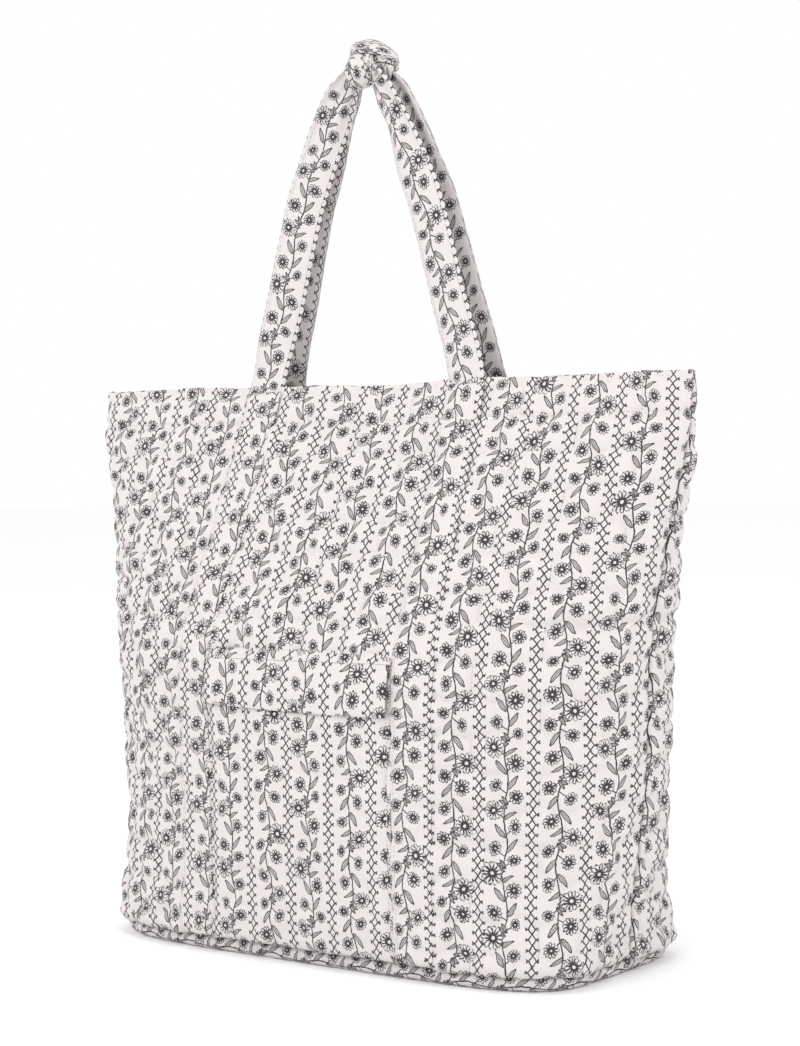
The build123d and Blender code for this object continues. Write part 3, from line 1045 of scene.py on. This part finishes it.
def strap(face, word):
    hand = HANDS[word]
    side = -1 if face == "front" else 1
    z = np.linspace(STRAP_FOOT, STRAP_PATH[-1, 0], 120)
    x, y = (smooth_through(z, STRAP_PATH[:, 0], STRAP_PATH[:, k]) for k in (1, 2))
    u = hand * x
    on_body = np.minimum(z, RIM_Z)
    hug = np.abs(skin.at(u if face == "front" else GIRTH / 2 - u, on_body)[:, 1]) + 0.4
    join = ease(z, RIM_Z - 5, RIM_Z + 8)
    centre = np.stack([u, side * (hug * (1 - join) + y * join), z + rim_drop(u, on_body)], axis=1)
    tangent = normalized(np.gradient(centre, axis=0))
    across = normalized(np.cross(tangent, np.array([0, side, 0.0])))
    facing = normalized(np.cross(tangent, across))
    across = across * -np.sign(across[0, 0] * side)
    facing = facing * np.sign(facing[0, 1] * side)
    turn = hand * ease(z, 600, 680) * math.radians(24 if face == "front" else -20)
    turn = turn + math.radians(STRAP_YAW[face, word]) * ease(z, RIM_Z + 4, RIM_Z + 50)
    c, s = np.cos(turn)[:, None], np.sin(turn)[:, None]
    across, facing = across * c + facing * s, facing * c - across * s
    gather = ease(z, 585, 672)
    width = 2 * BAND_HALF - 5.0 * gather - 10.0 * ease(z, 664, 684)
    thick = 1.3 + 1.7 * ease(z, BAND_TOP, BAND_TOP + 10) + 1.0 * gather

    def shape(w, s):
        fold = gather[:, None] * (1.7 * np.cos(w * 4.2 + hand) - 1.4 * w**2)
        pleat = ease(z, 600, 664)[:, None] * np.cos(w * 9.5 + 0.5 * hand + s / 60)
        cup = 0.9 * (1 - w**2) * (1 - gather[:, None])
        return fold + pleat + cup

    shift = (STRAP_PRINT_AT[face, word], skin.up(STRAP_FOOT) + 13 * hand)
    piece, rings = band_tube(f"{face}_strap_{word}", centre, across, facing, width, thick, shift, shape,
                             seed=30 + hand + 3 * side)
    dress(piece, None, [f"{face}_handle_{word}", f"{face}_handle_end_{word}"])
    out = facing[STRAP_SEWN]
    edges = sew(f"{face}_strap_{word}_thread",
                [dashes(rings[STRAP_SEWN, column] + out * 0.1, out) for column in STRAP_EDGES],
                None)
    for sewn in (piece, edges):
        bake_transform(sewn)


for face in FACES:
    for word in HANDS:
        strap(face, word)

# --- knot: passes of the same cloth round a lumpy heart ---
KNOT = np.array([(KNOT_LOW[0] + KNOT_HIGH[0]) / 2 + 1.0, 0.0, (KNOT_LOW[2] + KNOT_HIGH[2]) / 2])
KNOT_YAW = math.radians(38)
KNOT_AXES = np.array([  # across, towards the front, up
    (math.cos(KNOT_YAW), math.sin(KNOT_YAW), 0.0),
    (math.sin(KNOT_YAW), -math.cos(KNOT_YAW), 0.0),
    (0.0, 0.0, 1.0),
])
KNOT_STEPS = 60              # points along each pass


def knot_place(points):
    """Points given across, towards the front and up from the middle of the knot."""
    return np.asarray(points) @ KNOT_AXES + KNOT


def through(points):
    """Smooth path through a few points."""
    points = np.asarray(points, float)
    at = run_length(points)
    where = np.linspace(0, at[-1], KNOT_STEPS)
    return np.stack([smooth_through(where, at, points[:, k]) for k in range(3)], axis=1)


def curl(depth):
    """Edges of a pass turn in towards the heart of the knot."""
    return lambda w, s: -depth * np.abs(w) ** 2.4


def knot_pass(name, points, leans, widths, thick, shift, seed, curl_depth, node="handle_knot"):
    """One pass of cloth in the knot. leans are the directions across it, one for each point or one."""
    centre = through(points)
    tangent = normalized(np.gradient(centre, axis=0))
    lean = through(leans) if len(leans) == len(points) else np.broadcast_to(leans[0], centre.shape)
    lean = normalized(lean - tangent * (lean * tangent).sum(axis=1, keepdims=True))
    facing = normalized(np.cross(lean, tangent))
    outwards = (facing * centre).sum(axis=1).mean()
    facing = facing * (1 if outwards > 0 else -1)
    share = np.linspace(0, 1, KNOT_STEPS)
    width = smooth_through(share, np.linspace(0, 1, len(widths)), np.array(widths, float))
    piece, _ = band_tube(name, knot_place(centre), lean @ KNOT_AXES, facing @ KNOT_AXES, width,
                         np.full(KNOT_STEPS, thick), shift, curl(curl_depth), seed, crumple=0.6)
    return dress(piece, "handles", node)


def knot_heart():
    turn = np.linspace(0, 2 * math.pi, 48, endpoint=False)
    rows = []
    for t in np.linspace(0.04, math.pi - 0.04, 30):
        lump = 1 + 0.07 * np.sin(3 * turn + 2 * t) + 0.05 * np.sin(5 * turn - 3 * t + 1)
        rows.append(np.stack([15.5 * np.sin(t) * np.cos(turn) * lump, 10.5 * np.sin(t) * np.sin(turn) * lump,
                              np.full(48, -14.0 * np.cos(t))], axis=1))
    cloth = np.meshgrid(np.linspace(0, 60, 48), np.linspace(0, 40, 30))
    piece = tube_object("knot_heart", knot_place(rows), cloth, STRAP_PRINT)
    return dress(piece, "handles", "handle_knot")


knot_heart()
DOWN_FRONT = (0, 0.6, -0.78)
knot_pass("knot_wrap_left",
          [(-10, -7, 3), (-10.5, 4, 7), (-10.5, 12.5, 2.5), (-10, 15.5, -5), (-7.5, 10.5, -13.5),
           (-5.5, 0, -16), (-6, -10, -12), (-8, -12, -2)],
          [(1, 0, 0.2)], (15, 18, 21, 22, 19, 18, 17), 3.6, (31, 4), 41, 4.8, "knot_wrap")
knot_pass("knot_pass_middle",
          [(-1, -5, 6), (-1, 5, 8), (-1.4, 13, 4), (-1.2, 15.8, -1.5), (-1.4, 13.4, -8), (-2, 6, -12.5),
           (-2, -6, -12)],
          [(1, 0, -0.25)], (8, 10, 11, 11, 9, 8), 3.0, (14, 40), 42, 4.2)
knot_pass("knot_pass_right",
          [(9, 4, 9), (10.5, 10.5, 6), (11.4, 12.4, -1), (11.4, 9, -8.5), (9.5, 1, -14), (7, -8, -9)],
          [(0.9, 0.1, 0.3)], (10, 12, 13, 12, 11), 3.0, (22, 70), 43, 4.6)
knot_pass("knot_pass_fold",
          [(3, 6, 6), (8, 12.6, 4.8), (14, 12.4, 3.6), (19, 7.4, 2.2), (20.5, -1, 0)],
          [DOWN_FRONT], (8, 10, 10, 9), 2.6, (2, 55), 46, 2.2)
knot_pass("knot_pass_top",
          [(-16, -8, 8), (-15, 0, 12.6), (-9, 8.6, 14.8), (0, 12.4, 13.4), (8, 12.4, 11.2), (15, 9, 8.4),
           (20, 3, 4), (19.5, -5, -2)],
          [DOWN_FRONT], (8, 10, 12, 12, 12, 11, 9), 3.2, (5, 95), 44, 2.4)
knot_pass("knot_pass_crown",
          [(-15, -6, 9), (-8.5, -2, 16.6), (0, -1, 18.2), (8, -2, 15.2), (15, -4, 9), (16, -8, 0)],
          [(0, 1, 0.1), (0, 1, 0.0), (0, 1, 0.1), (0.2, 1, 0.1), (0.3, 1, 0.3), (0.3, 1, 0.5)],
          (10, 14, 16, 15, 13, 9), 3.4, (27, 140), 47, 3.6)
knot_pass("knot_pass_back",
          [(13, -5, 9), (6, -11, 6), (-3, -13, 1), (-11, -11, -5), (-14, -5, -10)],
          [(0.5, 0, 1)], (14, 18, 18, 14), 3.6, (9, 120), 45, 3.6)


# --- stitching ---
def sewn_row(u, z, lift, *spacing):
    """Stitches along a line on cloth that stands off the body by lift."""
    path = skin.at(u, z, lift)
    path[:, 2] += rim_drop(u, z)
    return dashes(path, skin.direction(u, z), *spacing)


def quilting_lines(middle):
    """Girth coordinate and distance up the cloth, along each wavy row and each short upright."""
    left, right = middle - GIRTH / 4 + 2, middle + GIRTH / 4 - 2
    for row in range(int(skin.up(RIM_Z) / QUILT_ROW) + 2):
        u = np.arange(left, right, 1.5)
        yield u, quilt_line(u, row)
        first = math.ceil(left / QUILT_CELL - row / 2 - 0.5)
        last = math.floor(right / QUILT_CELL - row / 2 - 0.5)
        v = np.arange(row * QUILT_ROW + QUILT_WAVE, (row + 1) * QUILT_ROW - QUILT_WAVE, 1.2)
        for k in range(first, last + 1):
            yield np.full(len(v), (k + row / 2 + 0.5) * QUILT_CELL), v


def quilting_stitches(face, middle):
    """Thread along the quilting, but not under the bands and the pocket."""
    sets = []
    for u, v in quilting_lines(middle):
        z = skin.height(v)
        keep = (z > SEAM_Z + 1) & (z < RIM_Z - 2)
        if keep.sum() >= 3:
            u, z = u[keep], z[keep]
            sets.append(sewn_row(u, z, quilted_lift(u, z) + 0.12, 2.4, 1.2, covered(u, z) < 0.05))
    return sew(f"{face}_quilting_thread", sets, radius=0.26)


def band_stitches(face, middle):
    """Two rows down each handle band."""
    z = np.linspace(SEAM_Z + 3, BAND_TOP - 2, 210)
    sets = []
    for hand in HANDS.values():
        for w in (-0.84, 0.84):
            u = middle + hand * band_centre(z) + w * BAND_HALF
            sets.append(sewn_row(u, z, band_lift(np.full_like(z, w), u, z) + 0.1))
    return sew(f"{face}_band_thread", sets)


def hem_stitches(face, middle):
    """One row round the hem, cut where the bands cross it."""
    u = middle + np.linspace(-GIRTH / 4 + 3, GIRTH / 4 - 3, 400)
    z = np.full_like(u, RIM_Z - HEM)
    open_air = np.abs(np.abs(face_offset(u)) - band_centre(z)) > BAND_HALF + 1
    changes = np.flatnonzero(np.diff(open_air.astype(int))) + 1
    lift = quilted_lift(u, z) + 0.12
    sets = [sewn_row(u[part], z[part], lift[part])
            for part in np.split(np.arange(len(u)), changes) if open_air[part].all()]
    return sew(f"{face}_hem_thread", sets)


def pocket_stitches():
    """One row up each side of the pocket."""
    z = np.linspace(SEAM_Z + 2, POCKET_TOP - 3, 160)
    sets = []
    for hand in HANDS.values():
        u = np.full_like(z, hand * (POCKET_HALF - 3.0))
        sets.append(sewn_row(u, z, pocket_lift(u, z) + 0.1))
    return sew("pocket_thread", sets)


for face, middle in FACES.items():
    quilting_stitches(face, middle)
    band_stitches(face, middle)
    hem_stitches(face, middle)
pocket_stitches()

# --- camera ---
CAMERA_AZIMUTH = math.radians(38.5)
CAMERA_PAN, CAMERA_TILT, CAMERA_ROLL = math.radians(-0.52), math.radians(2.23), math.radians(-1.33)
CAMERA_DISTANCE = 1884.0
CAMERA_HEIGHT = 403.9
LENS = 82.6


def place_camera():
    tilt, roll, heading = CAMERA_TILT, CAMERA_ROLL, CAMERA_AZIMUTH + CAMERA_PAN
    level_reach = math.cos(tilt)
    forward = Vector((-math.sin(heading) * level_reach, math.cos(heading) * level_reach, -math.sin(tilt)))
    level = Vector((math.cos(heading), math.sin(heading), 0))
    upward = level.cross(forward)
    right = level * math.cos(roll) + upward * math.sin(roll)
    up = upward * math.cos(roll) - level * math.sin(roll)
    data = bpy.data.cameras.new("camera")
    data.lens = LENS
    data.sensor_fit = "AUTO"
    data.sensor_width = 36
    data.clip_end = 50
    camera = bpy.data.objects.new("camera", data)
    place = Vector((math.sin(CAMERA_AZIMUTH), -math.cos(CAMERA_AZIMUTH), 0)) * CAMERA_DISTANCE
    place.z = CAMERA_HEIGHT
    turn = Matrix((right, up, -forward)).transposed().to_4x4()
    camera.matrix_world = Matrix.Translation(place * MM) @ turn
    bpy.context.scene.collection.objects.link(camera)
    bpy.context.scene.camera = camera


place_camera()


# --- light and floor, in metres ---
def area_light(name, place, target, size, power):
    data = bpy.data.lights.new(name, "AREA")
    data.shape = "RECTANGLE"
    data.size, data.size_y = size
    data.energy = power
    light = bpy.data.objects.new(name, data)
    light.location = place
    light.rotation_euler = (Vector(target) - Vector(place)).to_track_quat("-Z", "Y").to_euler()
    bpy.context.scene.collection.objects.link(light)


area_light("left_softbox", (-1.9, -1.7, 1.5), (0, 0, 0.25), (1.6, 1.8), 18)
area_light("right_softbox", (2.3, -0.5, 1.4), (0, 0, 0.3), (1.4, 1.8), 18)
area_light("front_softbox", (0.5, -2.4, 1.2), (0, 0, 0.4), (1.6, 1.6), 10.5)
area_light("top_softbox", (0.0, -0.4, 2.6), (0, 0, 0.2), (2.2, 2.2), 8)

world = bpy.data.worlds.new("studio")
world.use_nodes = True
world.node_tree.nodes["Background"].inputs["Color"].default_value = (1, 1, 1, 1)
world.node_tree.nodes["Background"].inputs["Strength"].default_value = 1.0
bpy.context.scene.world = world
bpy.context.scene.view_settings.view_transform = "Standard"

FLOOR_REACH = 9.0
floor_corners = [(x * FLOOR_REACH, y * FLOOR_REACH, 0) for x, y in ((-1, -1), (1, -1), (1, 1), (-1, 1))]
floor_mesh = bpy.data.meshes.new("floor")
floor_mesh.from_pydata(floor_corners, [], [(0, 1, 2, 3)])
floor = bpy.data.objects.new("floor", floor_mesh)
bpy.context.scene.collection.objects.link(floor)
floor_material, _, floor_shader = new_material("floor_paper", 0.9, 0.0)
floor_shader.inputs["Base Color"].default_value = (*FLOOR_COLOUR, 1)
floor_shader.inputs["Emission Color"].default_value = (1, 1, 1, 1)
floor_shader.inputs["Emission Strength"].default_value = 0.03
floor_mesh.materials.append(floor_material)
